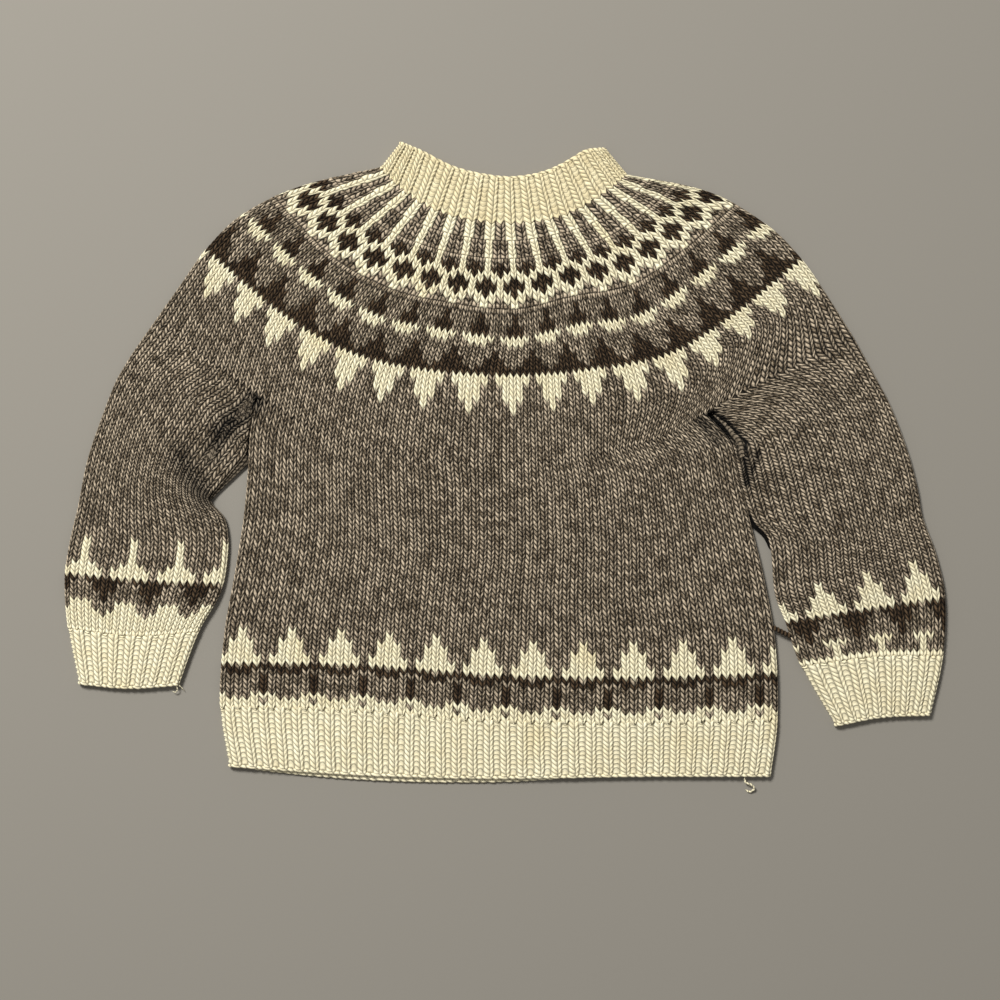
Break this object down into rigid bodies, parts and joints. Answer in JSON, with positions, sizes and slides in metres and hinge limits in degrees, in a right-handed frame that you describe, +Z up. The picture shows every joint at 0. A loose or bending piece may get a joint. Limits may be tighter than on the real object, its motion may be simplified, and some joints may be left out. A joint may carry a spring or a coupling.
{
  "type": "icelandic sweater",
  "caption": "Hand-knitted wool sweater with a patterned round yoke and ribbed neck, hem and cuffs, laid flat with its front up.",
  "frame": {"origin": "middle of the laid garment's outline, on the surface that it rests on", "axes": "+X to the right across the sleeves as seen from above, +Y from the hem towards the neck, +Z up out of the front"},
  "size_m": [0.8108, 0.5908, 0.0132],
  "materials": {
    "body_wool": "matte heather-brown wool, stocking stitch with cream and dark brown bands",
    "sleeve_wool": "matte heather-brown wool, stocking stitch with cream and dark brown bands",
    "yoke_wool": "matte heather-brown, cream and dark brown wool in a stranded yoke pattern",
    "rib_wool": "matte cream wool, single rib"
  },
  "bodies": {
    "root": {"body": "body_wool", "cuff_left": "rib_wool", "cuff_right": "rib_wool", "hem_rib": "rib_wool", "neckband": "rib_wool", "sleeve_left": "sleeve_wool", "sleeve_right": "sleeve_wool", "yoke": "yoke_wool"}
  },
  "joints": []
}
